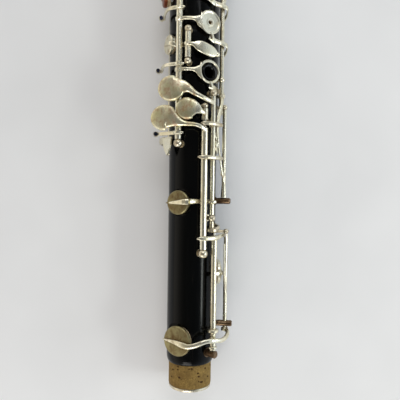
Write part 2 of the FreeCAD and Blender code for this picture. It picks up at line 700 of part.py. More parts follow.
def perforated_pad(y):
    """Cork pad under a finger plate, pierced in line with the plate's hole."""
    profile = [(1.05, 0), (4.7, 0), (5.0, 0.3), (5.0, FINGER_PAD_THICK), (1.05, FINGER_PAD_THICK)]
    return opened(button(profile, FINGER_PHI, PLATE_RHO - FINGER_PAD_THICK, y), MAIN_LINE, -FINGER_OPEN)


# ---------------------------------------------------------------- F key
def f_key():
    arm_y = F_CUP[1] - 1.9
    y0 = post_end(F_POST_YS[0], F_BALL_R, 1)
    y1 = post_end(F_POST_YS[1], F_BALL_R, -1)
    touch = bar([
        (-8, 18.2, 175.7, 0.9, 0.7),
        (-1, 18.4, 175.5, 1.0, 0.65),
        (5, 18.5, 175.0, 2.1, 0.6),
        (11, 18.4, 174.4, 2.75, 0.6),
        (22, 18.0, 173.4, 2.9, 0.6),
        (32, 17.8, 172.6, 2.7, 0.6),
        (38, 17.8, 172.2, 1.9, 0.6),
        (41, 17.8, 172.0, 0.9, 0.55),
    ])
    tip = Part.makeSphere(1.25, polar(43.0, 17.6, 171.9))
    under = bar([
        (F_LINE[0], 16.0, arm_y, 1.1, 0.9),
        (-14, 14.6, arm_y, 1.2, 0.5),
        (-26, 13.88, arm_y, 1.2, 0.36),
        (-36, 14.3, arm_y + 0.3, 1.2, 0.42),
        (-42, 15.55, F_CUP[1] - 1.0, 1.2, 0.5),
        (-49, 16.25, F_CUP[1] - 0.5, 1.1, 0.55),
        (-56, 16.1, F_CUP[1] - 0.2, 0.95, 0.55),
        (-62, 15.95, F_CUP[1], 0.8, 0.5),
        (-74, 16.1, F_CUP[1], 0.3, 0.3),
    ])
    hub = collar(F_LINE, 176.0, F_TUBE_R + 0.5, 1.1)
    pieces = [along(F_LINE, y0, y1, F_TUBE_R), touch, tip, under, hub]
    pieces.append(pad_cup(5.0, F_CUP[0], F_RIM, F_CUP[1]))
    return bored(joined(pieces), F_LINE, 160, 190, FINE_PIVOT_R + RUN_FIT)


def f_key_pad():
    return cup_pad(4.55, F_CUP, 12.2, F_RIM)


# ---------------------------------------------------------------- little-finger keys
def c_sharp_key():
    """Upper teardrop, long tube and open cup at mid length."""
    y0 = post_end(C_SHARP_POST_YS[0], C_SHARP_BALL_R, 1)
    y1 = post_end(C_SHARP_POST_YS[1], C_SHARP_BALL_R, -1)
    touch = teardrop((-11.0, 153.3, 18.5), 6.4, 13, [
        (-7.2, 153.5, 19.1, 5.0, 1.3),
        (-4.6, 153.8, 19.1, 3.4, 1.2),
        (-1.9, 153.0, 19.2, 1.95, 1.15),
        (0.9, 151.0, 19.1, 1.3, 1.1),
        (5.0, 149.0, 18.4, 1.1, 1.0),
        (8.2, 147.9, 16.2, 1.1, 0.9),
        (10.2, 147.5, 13.6, 1.1, 0.9),
    ])
    disc_phi, disc_y = C_SHARP_CUP
    flat = C_SHARP_SEAT + 4.3  # the open cup's top at its middle
    arm = bar([
        (39.0, 16.4, 97.6, 1.1, 1.1),
        (33, 14.6, 97.6, 1.1, 0.6),
        (22, 13.75, 97.6, 1.1, 0.42),
        (10, 14.2, 97.7, 1.1, 0.5),
        (0, 15.4, 97.6, 1.35, 0.6),
        (-10, plane_rho(disc_phi, flat, -10) + 0.45, 97.4, 1.5, 0.75),
        (-30, plane_rho(disc_phi, flat, -30) + 0.4, 97.0, 1.0, 0.7),
        (-51, plane_rho(disc_phi, flat, -51) + 0.2, 96.7, 0.25, 0.3),
    ])
    pieces = [along(C_SHARP_LINE, y0, y1, C_SHARP_TUBE_R), touch, arm, collar(C_SHARP_LINE, 97.5, 2.5, 0.8)]
    cup = pad_cup(6.1, disc_phi, C_SHARP_SEAT + CUP_OVER_SEAT, disc_y)
    pieces.append(opened(cup, C_SHARP_LINE, C_SHARP_OPEN))
    return bored(joined(pieces), C_SHARP_LINE, 80, 160, FINE_PIVOT_R + RUN_FIT)


def c_sharp_pad():
    return opened(seated_pad(5.6, C_SHARP_CUP, C_SHARP_SEAT), C_SHARP_LINE, C_SHARP_OPEN)


def low_c_touch_key():
    """Lower teardrop and its long thick tube, ending in a lifting tab."""
    y0 = post_end(LOW_C_POST_YS[0], LOW_C_BALL_R, 1)
    touch = teardrop((-14.5, 138.9, 17.6), 6.4, 15, [
        (-10.9, 138.3, 18.4, 5.0, 1.3),
        (-8.6, 137.4, 18.7, 3.1, 1.2),
        (-5.6, 136.4, 18.8, 1.75, 1.15),
        (-2.6, 135.9, 18.8, 1.2, 1.05),
        (1.4, 135.6, 18.7, 1.0, 0.95),
        (4.4, 134.6, 17.8, 1.0, 0.9),
        (6.2, 133.2, 16.2, 1.0, 0.9),
    ])
    lifter = bar([
        (LOW_C_LINE[0] + 2, 16.9, 79.3, 0.9, 0.9),
        (29, 17.45, 79.3, 0.8, 0.5),
        (33, 17.5, 79.3, 0.7, 0.4),
    ])
    pieces = [along(LOW_C_LINE, y0, 134.3, LOW_C_TUBE_R), touch, lifter]
    whole = joined(pieces)
    for y in (83.7, 89.7):
        whole = whole.cut(radial(LOW_C_LINE[0] + 4, y, LOW_C_LINE[1], 20, 0.6))
    return bored(whole, LOW_C_LINE, 60, 140, MAIN_PIVOT_R + RUN_FIT)


def e_flat_key():
    """Middle teardrop on a short tube; its arm runs under the long tube to a cup on the right flank."""
    y1 = post_end(LOW_C_POST_YS[1], SMALL_BALL_R, -1)
    touch = teardrop((-2.9, 143.4, 19.0), 5.5, 6, [
        (0.2, 143.5, 19.4, 4.4, 1.2),
        (2.2, 143.1, 19.3, 2.9, 1.1),
        (3.8, 142.3, 18.9, 1.5, 1.0),
        (5.2, 141.6, 18.0, 0.9, 0.85),
        (6.2, 141.2, 16.6, 0.8, 0.8),
    ])
    arm = bar([
        (LOW_C_LINE[0], 15.8, 140.2, 0.9, 0.9),
        (28, 14.5, 139.6, 0.9, 0.5),
        (38, 13.7, 137.6, 0.9, 0.36),
        (50, 13.6, 134.6, 1.0, 0.4),
        (62, 13.75, 131.2, 1.0, 0.42),
        (74, 14.05, 128.8, 1.0, 0.45),
        (86, 13.75, 128.0, 0.9, 0.45),
        (98, 14.0, 128.0, 0.4, 0.3),
    ])
    pieces = [along(LOW_C_LINE, 138.5, y1, 1.6), touch, arm]
    pieces.append(pad_cup(5.3, E_FLAT_CUP[0], E_FLAT_RIM, E_FLAT_CUP[1]))
    return bored(joined(pieces), LOW_C_LINE, 136, 150, MAIN_PIVOT_R + RUN_FIT)


def e_flat_pad():
    return cup_pad(4.85, E_FLAT_CUP, E_FLAT_SEAT + PAD_GAP, E_FLAT_RIM)


def low_c_cup_key():
    """Short thick tube at the lower right with a crossbar and a cup on the flank."""
    y0 = LOW_C_CUP_POST_Y + 1.9 + END_PLAY
    crossbar = bar([
        (9, 18.7, 79.3, 0.3, 0.3),
        (15, 18.95, 79.3, 0.95, 0.5),
        (26, 19.05, 79.3, 1.05, 0.6),
        (38, 18.8, 79.3, 1.1, 0.8),
        (47, 18.3, 79.5, 1.1, 0.9),
        (55, 18.6, 80.4, 1.0, 0.7),
        (60, 19.3, 80.8, 0.9, 0.6),
    ])
    arm = bar([
        (LOW_C_CUP_LINE[0], 15.4, 60.0, 1.2, 1.0),
        (52, 14.4, 60.0, 1.2, 0.6),
        (62, 14.3, 60.0, 1.2, 0.45),
        (70, 15.4, 60.0, 1.2, 0.5),
        (78, 16.3, 60.0, 1.2, 0.55),
        (88, 16.4, 60.0, 1.2, 0.55),
        (102, 15.75, 60.0, 1.0, 0.6),
        (116, 16.1, 60.0, 0.4, 0.3),
    ])
    hub = collar(LOW_C_CUP_LINE, 79.3, 2.2, 1.1)
    pieces = [along(LOW_C_CUP_LINE, y0, 80.4, LOW_C_CUP_TUBE_R), crossbar, arm, hub]
    pieces += [collar(LOW_C_CUP_LINE, 32.1, 2.9, 0.9), collar(LOW_C_CUP_LINE, 23.6, 2.2, 0.7)]
    cup = pad_cup(6.6, LOW_C_CUP[0], LOW_C_SEAT + CUP_OVER_SEAT, LOW_C_CUP[1])
    pieces.append(opened(cup, LOW_C_CUP_LINE, -LOW_C_CUP_OPEN))
    whole = joined(pieces).cut(radial(57.5, 80.6, 16, 22, 0.5))
    return bored(whole, LOW_C_CUP_LINE, 15, 82.5, FINE_PIVOT_R + RUN_FIT)


def low_c_cup_pad():
    return opened(seated_pad(6.15, LOW_C_CUP, LOW_C_SEAT), LOW_C_CUP_LINE, -LOW_C_CUP_OPEN)


def low_c_adjusting_screw():
    """Knurled screw at the crossbar's raised right end."""
    shank = radial(57.5, 80.6, 17.6, 19.6, 0.5)
    head = radial(57.5, 80.6, 19.75, 20.9, 0.95)
    return joined([shank, radial(57.5, 80.6, 19.5, 19.9, 0.5), head])


# ---------------------------------------------------------------- low B linkage on the right flank
def low_b_lever():
    """Long thin rod of the left hand's low B lever, with a slanting tongue below its last post."""
    phi, rho = LOW_B_LEVER_LINE
    y1 = post_end(LEVER_POST_YS[1], SMALL_BALL_R, -1)
    rod = along(LOW_B_LEVER_LINE, 150.0, y1, THIN_ROD_R)
    tongue = bar([
        (phi, rho + 0.3, 151.0, 1.4, 0.8),
        (phi - 2, rho + 0.4, 147.5, 1.3, 0.7),
        (phi - 7, rho + 0.2, 143.5, 1.2, 0.6),
        (phi - 12, rho + 0.1, 138.5, 1.1, 0.55),
        (phi - 12, rho + 0.2, 131.0, 0.7, 0.45),
        (phi - 7, rho + 0.8, 120.0, 0.6, 0.4),
        (phi - 1, rho + 1.4, 111.5, 0.8, 0.4),
        (phi + 2, rho + 1.8, 108.0, 0.7, 0.35),
    ])
    touch = bar([
        (phi, rho + 0.4, 221.5, 1.1, 0.8),
        (phi - 6, rho + 1.6, 225.5, 1.6, 0.7),
        (phi - 9, rho + 2.6, 232.0, 3.2, 0.7),
        (phi - 9, rho + 3.2, 239.0, 4.0, 0.7),
        (phi - 8, rho + 3.2, 245.0, 3.0, 0.65),
        (phi - 7, rho + 3.0, 248.0, 1.2, 0.5),
    ])
    pieces = [rod, tongue, touch, collar(LOW_B_LEVER_LINE, 151.9, 1.8, 0.9)]
    whole = joined(pieces).cut(along(LOW_B_LEVER_LINE, y1 - 3.5, y1 + 0.5, FINE_PIVOT_R + RUN_FIT))
    return joined([whole])


def low_b_middle_rod():
    """Middle rod: lifted tab at its top, pressing arm at its foot."""
    phi, rho = LOW_B_ROD_LINE
    y0 = ROD_POST_YS[0] + 1.6 + END_PLAY
    y1 = post_end(ROD_POST_YS[1], 1.45, -1)
    rod = along(LOW_B_ROD_LINE, y0, y1, THIN_ROD_R)
    tab = bar([
        (phi, rho + 0.2, 112.0, 1.2, 0.8),
        (phi - 7, rho + 0.1, 112.0, 1.2, 0.5),
        (phi - 13, rho - 0.1, 112.0, 1.2, 0.4),
    ])
    flare = Part.makeCone(1.45, THIN_ROD_R, 7.0, polar(phi, rho, y0), AXIS)
    whole = joined([rod, tab, flare])
    whole = whole.cut(along(LOW_B_ROD_LINE, y0 - 0.5, ROD_POST_YS[0] + 4.7, FINE_PIVOT_R + RUN_FIT))
    whole = whole.cut(along(LOW_B_ROD_LINE, ROD_POST_YS[1] - 4.7, y1 + 0.5, FINE_PIVOT_R + RUN_FIT))
    return joined([whole])


def low_b_cup_key():
    """Lower flank rod, S-shaped arm over the low C tube, and the large open cup."""
    phi, rho = LOW_B_CUP_LINE
    y1 = post_end(CUP_ROD_POST_YS[1], 1.45, -1)
    rod = along(LOW_B_CUP_LINE, 29.4, y1, THIN_ROD_R)
    disc_phi, disc_y = LOW_B_CUP
    flat = LOW_B_SEAT + 4.5  # the open cup's top at its middle
    arm = bar([
        (phi, rho + 0.3, 30.3, 1.1, 1.0),
        (75, 20.2, 29.8, 1.15, 0.95),
        (64, 20.6, 28.3, 1.15, 0.9),
        (52, 20.3, 27.5, 1.15, 0.85),
        (38, 20.0, 28.2, 1.15, 0.85),
        (24, 19.1, 28.2, 1.15, 0.95),
        (10, 17.8, 26.4, 1.3, 1.05),
        (-3, 17.25, 25.5, 1.35, 0.9),
        (-13, plane_rho(disc_phi, flat, -13) + 0.45, 25.9, 1.5, 0.8),
        (-31, plane_rho(disc_phi, flat, -31) + 0.35, 26.7, 1.0, 0.65),
        (-54, plane_rho(disc_phi, flat, -54) + 0.15, 27.2, 0.25, 0.3),
    ])
    blade = bar([
        (phi - 2, rho + 0.3, 50.0, 0.9, 0.6),
        (phi - 8, rho + 0.2, 57.0, 0.9, 0.45),
        (phi - 15, rho + 0.4, 65.0, 0.8, 0.4),
        (phi - 21, rho + 0.9, 76.0, 0.6, 0.35),
    ])
    pieces = [rod, arm, blade, collar(LOW_B_CUP_LINE, 30.5, 1.9, 1.0)]
    cup = pad_cup(7.6, disc_phi, LOW_B_SEAT + CUP_OVER_SEAT, disc_y)
    pieces.append(opened(cup, LOW_B_CUP_LINE, LOW_B_CUP_OPEN))
    whole = joined(pieces)
    whole = whole.cut(along(LOW_B_CUP_LINE, CUP_ROD_POST_YS[1] - 4.7, y1 + 0.5, FINE_PIVOT_R + RUN_FIT))
    return joined([whole])


def low_b_pad():
    return opened(seated_pad(7.1, LOW_B_CUP, LOW_B_SEAT), LOW_B_CUP_LINE, LOW_B_CUP_OPEN)


# ---------------------------------------------------------------- link levers and side vent
E_LINK_Y = 180.0
D_LINK_Y = 155.6
F_SHARP_LINK_Y = 199.2
LINK_PAD_R = 3.25


def link_lever(y, over, y0, y1, vent):
    """Flat lever under a finger tab, with its tube on the flank and, if vent is given, a cup on the back.

    With over, the lever passes outside the low B lever's rod, otherwise under it."""
    if over:
        hub_y = y - 3.0
        lever = bar([
            (LINK_LINE[0] - 2, LINK_LINE[1] + 0.5, hub_y, 1.1, 0.8),
            (92, 16.5, hub_y - 0.2, 1.1, 0.6),
            (76, 17.6, y - 3.0, 1.1, 0.45),
            (62, 19.05, y - 2.2, 1.2, 0.38),
            (53, 17.4, y - 1.3, 1.3, 0.36),
            (46, 15.3, y - 0.5, 1.4, 0.35),
            (39, 15.15, y, 1.4, 0.35),
            (31, 15.15, y + 0.9, 1.2, 0.35),
        ])
    else:
        hub_y = y - 1.2
        lever = bar([
            (LINK_LINE[0] - 2, LINK_LINE[1] + 0.5, hub_y, 1.1, 0.8),
            (92, 16.2, hub_y, 1.1, 0.5),
            (76, 14.9, y - 1.0, 1.1, 0.4),
            (62, 14.6, y - 0.6, 1.2, 0.36),
            (50, 14.75, y - 0.2, 1.3, 0.36),
            (40, 15.1, y, 1.3, 0.35),
            (32, 15.1, y + 0.4, 1.2, 0.35),
        ])
    pieces = [along(LINK_LINE, y0, y1, 1.2), lever, collar(LINK_LINE, hub_y, 1.8, 1.1)]
    if vent:
        vent_phi, vent_y = vent
        pieces.append(bar([
            (LINK_LINE[0] + 2, LINK_LINE[1] + 0.4, vent_y, 1.0, 0.8),
            (120, 16.5, vent_y, 1.0, 0.6),
            (133, 16.2, vent_y, 0.9, 0.55),
            (vent_phi, 15.95, vent_y, 0.8, 0.5),
            (vent_phi + 9, 16.2, vent_y, 0.3, 0.3),
        ]))
        pieces.append(pad_cup(3.7, vent_phi, LINK_VENT_RIM, vent_y))
    return bored(joined(pieces), LINK_LINE, 140, 216, FINE_PIVOT_R + RUN_FIT)


def e_link_lever():
    return link_lever(E_LINK_Y, True, 168.2, 190.5, E_VENT_CUP)


def d_link_lever():
    y0 = post_end(LINK_POST_YS[0], SMALL_BALL_R, 1)
    return link_lever(D_LINK_Y, False, y0, 168.1, D_VENT_CUP)


def f_sharp_link_lever():
    """Link under the F sharp plate; its finger reaches up beside the socket to the upper joint."""
    y1 = post_end(LINK_POST_YS[1], SMALL_BALL_R, -1)
    lever = link_lever(F_SHARP_LINK_Y, True, 190.6, y1, None)
    reach = bar([
        (33, 15.15, F_SHARP_LINK_Y + 0.8, 1.2, 0.35),
        (20, 15.2, F_SHARP_LINK_Y + 1.6, 1.2, 0.4),
        (8, 15.3, F_SHARP_LINK_Y + 2.6, 1.1, 0.45),
    ])
    bridge = bar([
        (LINK_LINE[0] + 3, LINK_LINE[1] + 1.2, 205.0, 1.3, 0.7),
        (LINK_LINE[0] + 5, LINK_LINE[1] + 2.4, 211.0, 1.3, 0.6),
        (LINK_LINE[0] + 5, LINK_LINE[1] + 2.8, 230.0, 1.3, 0.6),
        (LINK_LINE[0] + 5, LINK_LINE[1] + 2.8, 246.0, 1.8, 0.6),
        (LINK_LINE[0] + 5, LINK_LINE[1] + 2.6, 250.0, 1.0, 0.5),
    ])
    return bored(joined([lever, reach, bridge]), LINK_LINE, 180, 216, FINE_PIVOT_R + RUN_FIT)


def e_link_pad():
    return cup_pad(LINK_PAD_R, E_VENT_CUP, 12.5, LINK_VENT_RIM)


def d_link_pad():
    return cup_pad(LINK_PAD_R, D_VENT_CUP, 12.3, LINK_VENT_RIM)


def vent_leaf():
    """Pointed flat leaf on the left flank, its tip towards the tenon."""
    tip = Vec(0, -8.0, 0)
    left = Vec(-3.8, 1.2, 0)
    right = Vec(3.8, 1.2, 0)
    edges = [
        Part.Arc(tip, Vec(2.7, -4.0, 0), right).toShape(),
        Part.LineSegment(right, left).toShape(),
        Part.Arc(left, Vec(-2.7, -4.0, 0), tip).toShape(),
    ]
    leaf = Part.Face(Part.Wire(edges)).extrude(Vec(0, 0, 0.8))
    leaf.Placement = FreeCAD.Placement(polar(-52, 16.1, 129.0), FreeCAD.Rotation(AXIS, -52))
    return leaf


def side_vent_key():
    """Tube on the left flank with a pointed leaf at its foot and a round cup near the top."""
    phi, rho = SIDE_VENT_LINE
    y0 = post_end(SIDE_VENT_POST_YS[0], SMALL_BALL_R, 1)
    y1 = post_end(SIDE_VENT_POST_YS[1], SMALL_BALL_R, -1)
    leaf_arm = bar([
        (phi + 2, rho + 0.6, 129.0, 1.3, 0.8),
        (phi + 14, rho + 1.2, 129.0, 1.4, 0.55),
        (-88, 17.4, 129.0, 1.6, 0.5),
        (-74, 17.0, 129.0, 1.8, 0.45),
        (-62, 16.7, 129.0, 1.8, 0.4),
    ])
    arm = bar([
        (phi + 2, rho + 0.5, 206.0, 1.2, 0.9),
        (-107, 17.6, 206.0, 1.2, 0.6),
        (-93, 17.6, 206.0, 1.1, 0.55),
        (SIDE_VENT_CUP[0], 17.3, 206.0, 0.9, 0.55),
        (-64, 17.6, 206.0, 0.3, 0.3),
    ])
    pieces = [along(SIDE_VENT_LINE, y0, y1, 1.1), leaf_arm, vent_leaf(), arm]
    pieces += [collar(SIDE_VENT_LINE, 206.0, 1.5, 1.1), collar(SIDE_VENT_LINE, 129.0, 1.5, 1.2)]
    pieces.append(pad_cup(6.35, SIDE_VENT_CUP[0], SIDE_VENT_RIM, SIDE_VENT_CUP[1]))
    return bored(joined(pieces), SIDE_VENT_LINE, 110, 220, FINE_PIVOT_R + RUN_FIT)


def side_vent_pad():
    return cup_pad(5.9, SIDE_VENT_CUP, 13.5, SIDE_VENT_RIM)


# ---------------------------------------------------------------- write every sub-part
def main():
    nodes = {
        "main_rod_posts": main_posts(),
        "f_key_posts": f_key_posts(),
        "low_c_rod_posts": low_c_posts(),
        "c_sharp_rod_posts": c_sharp_posts(),
        "low_c_cup_post": low_c_cup_post(),
        "low_b_lever_posts": lever_posts(),
        "barrel_posts": barrel_posts(),
        "flank_posts": flank_posts(),
        "link_posts": link_posts(),
        "side_vent_posts": side_vent_posts(),
        "rod_bridges": rod_bridges(),
        "rod_support": rod_support(),
        "main_pivot_rod": main_pivot_rods(),
        "right_hand_pivot_rods": right_hand_pivot_rods(),
        "flank_pivot_pins": flank_pivot_pins(),
        "needle_springs": needle_springs(),
        "tenon_cork": tenon_cork(),
        "tenon_cap": tenon_cap(),
        "socket_ring": socket_ring(),
        "finger_chimney": finger_chimney(),
        "thumb_rest": thumb_rest(),
        "thumb_rest_screws": thumb_rest_screws(),
        "f_sharp_key": f_sharp_key(),
        "f_sharp_pad": perforated_pad(F_SHARP_Y),
        "f_sharp_adjusting_screw": f_sharp_adjusting_screw(),
        "e_key": e_key(),
        "e_pad": perforated_pad(E_Y),
        "d_ring_key": d_ring_key(),
        "d_adjusting_screws": d_adjusting_screws(),
        "f_key": f_key(),
        "f_key_pad": f_key_pad(),
        "c_sharp_key": c_sharp_key(),
        "c_sharp_pad": c_sharp_pad(),
        "low_c_touch_key": low_c_touch_key(),
        "e_flat_key": e_flat_key(),
        "e_flat_pad": e_flat_pad(),
        "low_c_cup_key": low_c_cup_key(),
        "low_c_pad": low_c_cup_pad(),
        "low_c_adjusting_screw": low_c_adjusting_screw(),
        "low_b_lever": low_b_lever(),
        "low_b_middle_rod": low_b_middle_rod(),
        "low_b_cup_key": low_b_cup_key(),
        "low_b_pad": low_b_pad(),
        "f_sharp_link_lever": f_sharp_link_lever(),
        "e_link_lever": e_link_lever(),
        "e_link_pad": e_link_pad(),
        "d_link_lever": d_link_lever(),
        "d_link_pad": d_link_pad(),
        "side_vent_key": side_vent_key(),
        "side_vent_pad": side_vent_pad(),
    }
    nodes["wood_body"] = wood_body()
    os.makedirs("parts", exist_ok=True)
    for name, shape in nodes.items():
        if not shape.isValid() or not shape.Solids:
            raise ValueError(f"{name} is not a valid solid")
        shape.exportStep(f"parts/{name}.step")
        print(f"{name}: {len(shape.Solids)} solid(s), {shape.Volume:.1f} mm3")


main()
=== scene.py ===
"""Looks for the oboe's lower joint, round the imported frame: finishes, cork, floor, light and camera."""
import json
import math
import random

import bmesh
import bpy
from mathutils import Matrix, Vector


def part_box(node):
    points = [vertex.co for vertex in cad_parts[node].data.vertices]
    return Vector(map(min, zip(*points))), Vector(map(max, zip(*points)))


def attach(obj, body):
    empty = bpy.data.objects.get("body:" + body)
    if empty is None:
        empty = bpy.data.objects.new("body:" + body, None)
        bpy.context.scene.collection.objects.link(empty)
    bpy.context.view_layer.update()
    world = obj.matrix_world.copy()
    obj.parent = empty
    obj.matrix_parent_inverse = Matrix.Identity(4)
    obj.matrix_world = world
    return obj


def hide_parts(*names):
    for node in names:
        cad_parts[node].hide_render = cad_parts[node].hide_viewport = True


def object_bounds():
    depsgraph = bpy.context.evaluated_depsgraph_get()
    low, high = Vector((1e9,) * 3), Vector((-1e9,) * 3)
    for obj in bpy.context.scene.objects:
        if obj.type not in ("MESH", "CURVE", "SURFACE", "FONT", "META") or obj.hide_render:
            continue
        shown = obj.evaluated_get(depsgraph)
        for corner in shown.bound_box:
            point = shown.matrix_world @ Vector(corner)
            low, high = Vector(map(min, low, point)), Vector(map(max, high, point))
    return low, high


MM = 0.001

# Surroundings: colours of the two sides and how far out they are pure, and the heights (sine of the
# elevation) between which the brightness falls from its level low down to its level overhead
WARM_SIDE = (1.0, 0.93, 0.82)
COOL_SIDE = (0.76, 0.84, 0.93)
ROOM_TINT_SPAN = 0.8
ROOM_HEIGHTS = (0.15, 0.90)
ROOM_LEVELS = (1.14, 0.20)

# Open pad cups: the hinge line (angle round the bore from the top, distance from the bore axis), how far
# the cup stands open, the angle of its seat round the bore, and the height of its back, under which the cup
# is painted darker as painted shade
C_SHARP_HINGE = (39.0, 16.2)
C_SHARP_OPEN = 4.0
C_SHARP_SEAT = -30.0
C_SHARP_BACK = 14.98
LOW_B_HINGE = (84.0, 18.2)
LOW_B_OPEN = 3.0
LOW_B_SEAT = -31.0
LOW_B_BACK = 14.68

# Where one finish gives way to another along and across the keys
TOUCHES_FROM_Y = 130
TOUCHES_TO_X = 1.5
C_SHARP_CUP_TO_Y = 105
C_SHARP_CUP_TO_X = -0.5
LOW_B_CUP_TO_X = 1.2
VENT_CUP_FROM_Y = 198
VENT_CUP_TO_X = -12
VENT_CUP_FROM_Z = -2

# Tenon cork: the radius of the sleeve's bore, its mesh, its two kinds of pore (count, smallest and largest
# size), the depth of a pore, its flat floor and its reach as shares of its size, the grain of the skin, the
# angle above which an edge stays sharp, and how the two lips round off (share of the length, drop)
SLEEVE_BORE_R = 10.0
SLEEVE_AROUND = 420
SLEEVE_STEPS = 84
PORE_KINDS = ((90, 0.10, 0.20), (34, 0.28, 0.56))
PORE_DEPTH = 0.20
PORE_FLOOR = 0.45
PORE_REACH = 1.2
CORK_GRAIN = 0.02
CORK_SHARP_ABOVE = 40
LOWER_LIP = (0.09, 0.45)
UPPER_LIP = (0.035, 0.2)

# Soft lights in millimetres and watts: beside the joint, high beside its foot, past its head, past its foot
LIGHTS = {
    "window": dict(
        place=(900, 60, 300), aim=(0, 100, 0), size=(300, 330), power=1.6, colour=(0.90, 0.96, 1.0)
    ),
    "strip": dict(
        place=(750, -50, 520), aim=(0, 40, 0), size=(300, 100), power=1.3, colour=(0.95, 1.0, 0.93)
    ),
    "head_window": dict(
        place=(90, 640, 640), aim=(0, 100, 0), size=(480, 300), power=1.4, colour=(0.98, 0.99, 1.0)
    ),
    "foot_window": dict(
        place=(-120, -520, 420), aim=(0, 100, 0), size=(400, 300), power=1.9, colour=(1.0, 0.97, 0.93)
    ),
}

# Ground: its size, the middle of its length and its mesh
GROUND_SIZE = 1600
GROUND_MIDDLE_Y = 120
GROUND_CELLS = 60

# Camera: where it hangs, how far it is turned in degrees, and its lens for a sensor 36 mm wide
CAMERA_AT = (4.2, 98.4, 243.7)
CAMERA_TURN = 0.81
CAMERA_LENS = 41.1

RANGE_SOCKETS = ("From Min", "From Max", "To Min", "To Max")

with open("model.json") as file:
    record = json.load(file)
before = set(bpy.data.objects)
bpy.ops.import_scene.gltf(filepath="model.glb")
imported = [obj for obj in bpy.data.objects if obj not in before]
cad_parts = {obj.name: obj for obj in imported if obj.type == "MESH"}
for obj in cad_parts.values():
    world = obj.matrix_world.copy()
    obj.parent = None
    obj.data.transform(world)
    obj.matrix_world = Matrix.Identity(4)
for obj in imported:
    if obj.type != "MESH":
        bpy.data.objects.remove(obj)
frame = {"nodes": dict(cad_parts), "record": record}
cad_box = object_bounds()
nodes = frame["nodes"]


# ---------------------------------------------------------------- shader helpers
class Finish:
    """A material under construction: short calls for the nodes that the finishes share."""

    def __init__(self, name):
        self.material = bpy.data.materials.new(name)
        self.material.use_nodes = True
        self.tree = self.material.node_tree
        self.shader = self.tree.nodes["Principled BSDF"]
        self.place = self.tree.nodes.new("ShaderNodeTexCoord").outputs["Object"]

    def link(self, source, target):
        self.tree.links.new(source, target)

    def stretched(self, stretch):
        """Object coordinates in millimetres, divided along each axis by the stretch."""
        mapping = self.tree.nodes.new("ShaderNodeMapping")
        mapping.inputs["Scale"].default_value = [1 / (MM * s) for s in stretch]
        self.link(self.place, mapping.inputs["Vector"])
        return mapping.outputs["Vector"]

    def noise(self, stretch, detail, rough, distort=0.0):
        node = self.tree.nodes.new("ShaderNodeTexNoise")
        node.inputs["Scale"].default_value = 1.0
        node.inputs["Detail"].default_value = detail
        node.inputs["Roughness"].default_value = rough
        node.inputs["Distortion"].default_value = distort
        self.link(self.stretched(stretch), node.inputs["Vector"])
        return node.outputs["Fac"]

    def cells(self, stretch):
        """Distance to the middle of the nearest of many scattered cells."""
        node = self.tree.nodes.new("ShaderNodeTexVoronoi")
        node.inputs["Scale"].default_value = 1.0
        self.link(self.stretched(stretch), node.inputs["Vector"])
        return node.outputs["Distance"]

    def ramp(self, source, stops):
        node = self.tree.nodes.new("ShaderNodeValToRGB")
        band = node.color_ramp
        band.elements[0].position = stops[0][0]
        band.elements[0].color = (*stops[0][1], 1)
        band.elements[1].position = stops[-1][0]
        band.elements[1].color = (*stops[-1][1], 1)
        for position, colour in stops[1:-1]:
            band.elements.new(position).color = (*colour, 1)
        self.link(source, node.inputs["Fac"])
        return node.outputs["Color"]

    def span(self, source, low, high, out_low, out_high):
        node = self.tree.nodes.new("ShaderNodeMapRange")
        for name, value in zip(RANGE_SOCKETS, (low, high, out_low, out_high)):
            node.inputs[name].default_value = value
        self.link(source, node.inputs["Value"])
        return node.outputs["Result"]

    def times(self, a, b, operation="MULTIPLY"):
        node = self.tree.nodes.new("ShaderNodeMath")
        node.operation = operation
        self.link(a, node.inputs[0])
        if isinstance(b, (int, float)):
            node.inputs[1].default_value = b
        else:
            self.link(b, node.inputs[1])
        return node.outputs["Value"]

    def mixed(self, factor, first, second, blend="MIX"):
        node = self.tree.nodes.new("ShaderNodeMix")
        node.data_type = "RGBA"
        node.blend_type = blend
        self.link(factor, node.inputs["Factor"])
        for name, value in (("A", first), ("B", second)):
            socket = [s for s in node.inputs if s.name == name and s.type == "RGBA"][0]
            if isinstance(value, tuple):
                socket.default_value = (*value, 1)
            else:
                self.link(value, socket)
        return [s for s in node.outputs if s.type == "RGBA"][0]

    def edges(self):
        """One on worn outer edges, nought elsewhere."""
        geometry = self.tree.nodes.new("ShaderNodeNewGeometry")
        return self.span(geometry.outputs["Pointiness"], 0.52, 0.60, 0.0, 1.0)

    def hollows(self, distance_mm):
        """One in corners and under things, nought in the open."""
        node = self.tree.nodes.new("ShaderNodeAmbientOcclusion")
        node.samples = 4
        node.inputs["Distance"].default_value = distance_mm * MM
        return self.span(node.outputs["AO"], 0.35, 0.9, 1.0, 0.0)

    def bump(self, source, depth_mm, strength):
        node = self.tree.nodes.new("ShaderNodeBump")
        node.inputs["Strength"].default_value = strength
        node.inputs["Distance"].default_value = depth_mm * MM
        self.link(source, node.inputs["Height"])
        self.link(node.outputs["Normal"], self.shader.inputs["Normal"])

    def colour(self, socket):
        self.link(socket, self.shader.inputs["Base Color"])

    def rough(self, socket):
        self.link(socket, self.shader.inputs["Roughness"])

    def fixed(self, **values):
        for name, value in values.items():
            self.shader.inputs[name.replace("_", " ")].default_value = value


